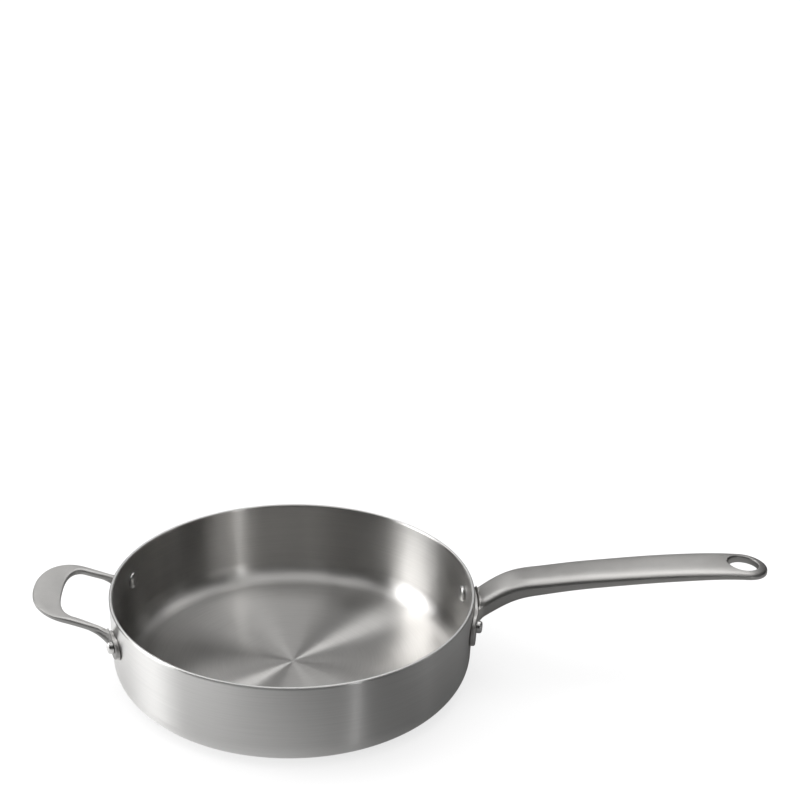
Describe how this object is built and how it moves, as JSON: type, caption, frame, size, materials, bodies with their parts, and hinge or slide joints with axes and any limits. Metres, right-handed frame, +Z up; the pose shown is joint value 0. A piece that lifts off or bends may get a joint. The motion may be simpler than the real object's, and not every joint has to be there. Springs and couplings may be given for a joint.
{
  "type": "saute pan",
  "caption": "Round straight-sided frying vessel with a flat base, a long riveted stick handle with a hanging hole and a looped helper handle opposite.",
  "frame": {"origin": "middle of the flat base, on the surface that the pan stands on", "axes": "+X along the stick handle, +Y to the left of someone who holds the handle with the pan in front, +Z up"},
  "size_m": [0.566, 0.28, 0.0897],
  "materials": {
    "outer_skin": "stainless sheet, brushed round the pan",
    "aluminium_core": "mill finish, seen only at the cut rim",
    "cooking_liner": "stainless sheet, brushed in circles on the floor and round the wall",
    "stick_handle": "cast stainless, satin blasted, duller on its sides",
    "helper_handle": "cast stainless, satin blasted, duller on its sides",
    "rivets": "bright stainless, lightly satin"
  },
  "bodies": {
    "root": {"outer_skin": "outer_skin", "aluminium_core": "aluminium_core", "cooking_liner": "cooking_liner", "stick_handle": "stick_handle", "helper_handle": "helper_handle", "stick_rivet_left": "rivets", "stick_rivet_right": "rivets", "helper_rivet_left": "rivets", "helper_rivet_right": "rivets"}
  },
  "joints": []
}
